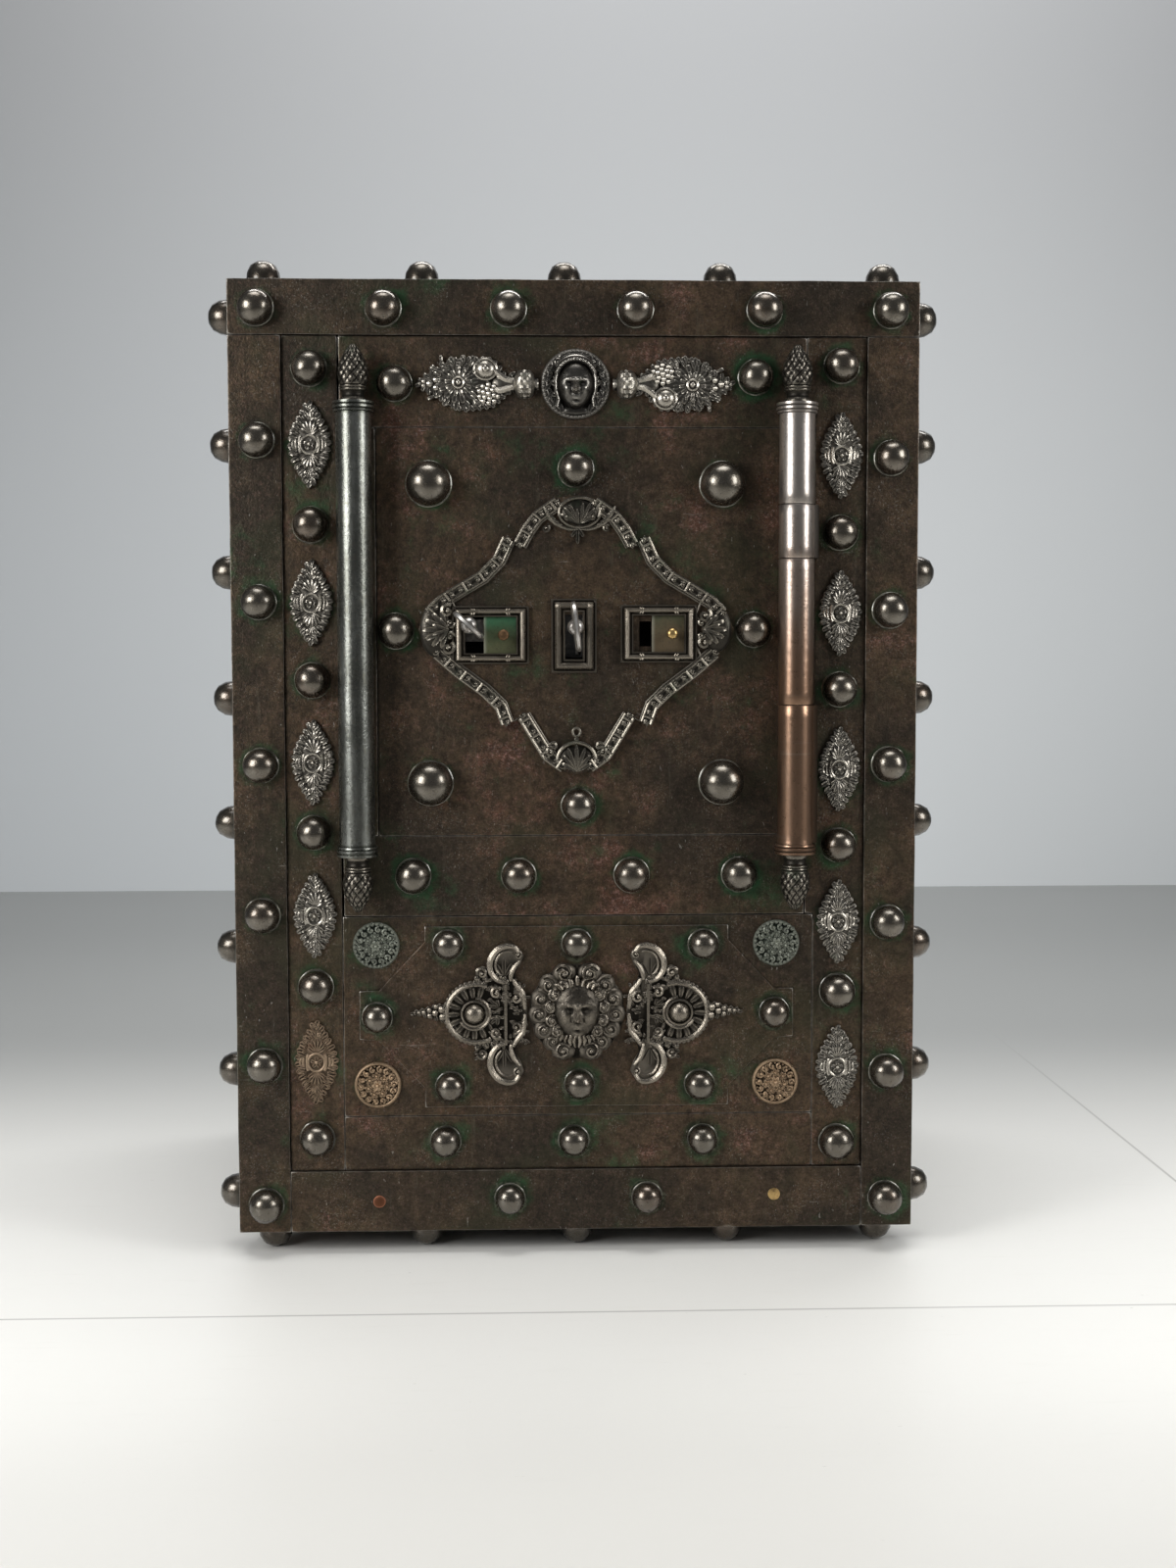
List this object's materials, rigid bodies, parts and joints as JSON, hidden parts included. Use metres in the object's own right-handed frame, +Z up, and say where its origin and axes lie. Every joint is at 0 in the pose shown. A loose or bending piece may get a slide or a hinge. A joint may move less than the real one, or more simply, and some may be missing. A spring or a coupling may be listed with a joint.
{
  "type": "iron strongbox",
  "caption": "Hobnailed iron strongbox with a hinged door, sliding keyhole shutters, two keys, turning combination knobs, thrown bolts and an oak-lined cabinet with a shelf.",
  "frame": {"origin": "on the floor, at the flat end of the middle foot stud under the middle of the case", "axes": "+X to the right as seen from the front, +Y to the back, +Z up; the door faces -Y"},
  "size_m": [0.642, 0.555, 0.877],
  "materials": {
    "patinated_iron": "dark brown-black patina, worn at the edges, with green traces",
    "cast_ornament": "dark relief with bright worn high points",
    "polished_stud_iron": "polished dark iron, slightly green",
    "column_steel": "worn dark steel",
    "left_column_steel": "pale grey-green worn steel",
    "hinge_copper_brown": "copper-brown worn steel with ring scratches",
    "green_medallion": "dark relief in green verdigris",
    "brassy_medallion": "brown brass relief, worn",
    "gilt_rosette": "brown gilt relief, worn",
    "escutcheon_steel": "worn bright steel frames",
    "green_shutter": "green-stained plate with a brass knob",
    "bright_steel": "bright worn steel",
    "lock_iron": "plain dark lock metal",
    "oak": "oiled oak"
  },
  "bodies": {
    "case": {"case_left_side": "patinated_iron", "case_right_side": "patinated_iron", "case_top": "patinated_iron", "case_bottom": "patinated_iron", "case_back": "patinated_iron", "strap_left": "patinated_iron", "strap_right": "patinated_iron", "strap_top": "patinated_iron", "strap_bottom": "patinated_iron", "stile_left": "patinated_iron", "stile_right": "patinated_iron", "bottom_rail": "patinated_iron", "lower_panel": "patinated_iron", "lower_overlay": "patinated_iron", "door_frame": "patinated_iron", "oak_lining": "oak", "shelf": "oak", "hinge_frame_leaf": "hinge_copper_brown", "hinge_pin": "column_steel", "hinge_bottom_finial": "column_steel", "lower_mask": "cast_ornament", "lower_wing_left": "cast_ornament", "lower_wing_right": "cast_ornament", "medallion_upper_left": "green_medallion", "medallion_upper_right": "green_medallion", "medallion_lower_left": "brassy_medallion", "medallion_lower_right": "brassy_medallion", "rosette_left_1": "gilt_rosette", "rosette_left_2": "cast_ornament", "rosette_left_3": "cast_ornament", "rosette_left_4": "cast_ornament", "rosette_left_5": "cast_ornament", "rosette_right_1": "cast_ornament", "rosette_right_2": "cast_ornament", "rosette_right_3": "cast_ornament", "rosette_right_4": "cast_ornament", "rosette_right_5": "cast_ornament"},
    "door": {"door_slab": "patinated_iron", "door_top_band": "patinated_iron", "door_bottom_band": "patinated_iron", "top_mask": "cast_ornament", "top_leaf_left": "cast_ornament", "top_leaf_right": "cast_ornament", "cartouche": "patinated_iron", "escutcheon_left": "escutcheon_steel", "escutcheon_right": "escutcheon_steel", "escutcheon_centre": "escutcheon_steel", "hinge_door_leaf": "hinge_copper_brown", "column_left": "left_column_steel", "lock_case": "lock_iron"},
    "shutter_left": {"shutter_left": "green_shutter"},
    "shutter_right": {"shutter_right": "green_shutter"},
    "bolts": {"bolt_carriage": "bright_steel"},
    "curtain": {"lock_curtain": "lock_iron"},
    "key_centre": {"key_centre": "bright_steel"},
    "key_left": {"key_left": "bright_steel"},
    "knob_lower_left": {"knob_lower_left": "polished_stud_iron"},
    "knob_lower_right": {"knob_lower_right": "polished_stud_iron"},
    "knob_upper_left": {"knob_upper_left": "polished_stud_iron"},
    "knob_upper_right": {"knob_upper_right": "polished_stud_iron"}
  },
  "joints": [
    {"name": "door_hinge", "type": "hinge", "parent": "case", "child": "door", "pos_m": [0.191, -0.2555, 0.55], "axis": [0, 0, 1], "range_deg": [0, 105]},
    {"name": "bolt_throw", "type": "slide", "parent": "door", "child": "bolts", "axis": [-1, 0, 0], "range_m": [0, 0.028]},
    {"name": "curtain_turn", "type": "hinge", "parent": "door", "child": "curtain", "pos_m": [-0.001, -0.2, 0.55685], "axis": [0, 1, 0], "range_deg": [0, 180]},
    {"name": "key_centre_withdraw", "type": "slide", "parent": "curtain", "child": "key_centre", "axis": [0, -1, 0], "range_m": [0, 0.11]},
    {"name": "key_left_turn", "type": "hinge", "parent": "door", "child": "key_left", "pos_m": [-0.09294, -0.25, 0.55825], "axis": [0, 1, 0], "range_deg": [-42, 48]},
    {"name": "shutter_left_slide", "type": "slide", "parent": "door", "child": "shutter_left", "axis": [-1, 0, 0], "range_m": [0, 0.0085]},
    {"name": "shutter_right_slide", "type": "slide", "parent": "door", "child": "shutter_right", "axis": [-1, 0, 0], "range_m": [0, 0.011]},
    {"name": "knob_lower_left_turn", "type": "hinge", "parent": "door", "child": "knob_lower_left", "pos_m": [-0.12803, -0.24, 0.42071], "axis": [0, 1, 0], "continuous": true},
    {"name": "knob_lower_right_turn", "type": "hinge", "parent": "door", "child": "knob_lower_right", "pos_m": [0.12803, -0.24, 0.42071], "axis": [0, 1, 0], "continuous": true},
    {"name": "knob_upper_left_turn", "type": "hinge", "parent": "door", "child": "knob_upper_left", "pos_m": [-0.12803, -0.24, 0.68115], "axis": [0, 1, 0], "continuous": true},
    {"name": "knob_upper_right_turn", "type": "hinge", "parent": "door", "child": "knob_upper_right", "pos_m": [0.12803, -0.24, 0.68115], "axis": [0, 1, 0], "continuous": true}
  ],
  "couplings": [
    {"joint": "curtain_turn", "follows": "bolt_throw", "rad_per_m": 112}
  ]
}
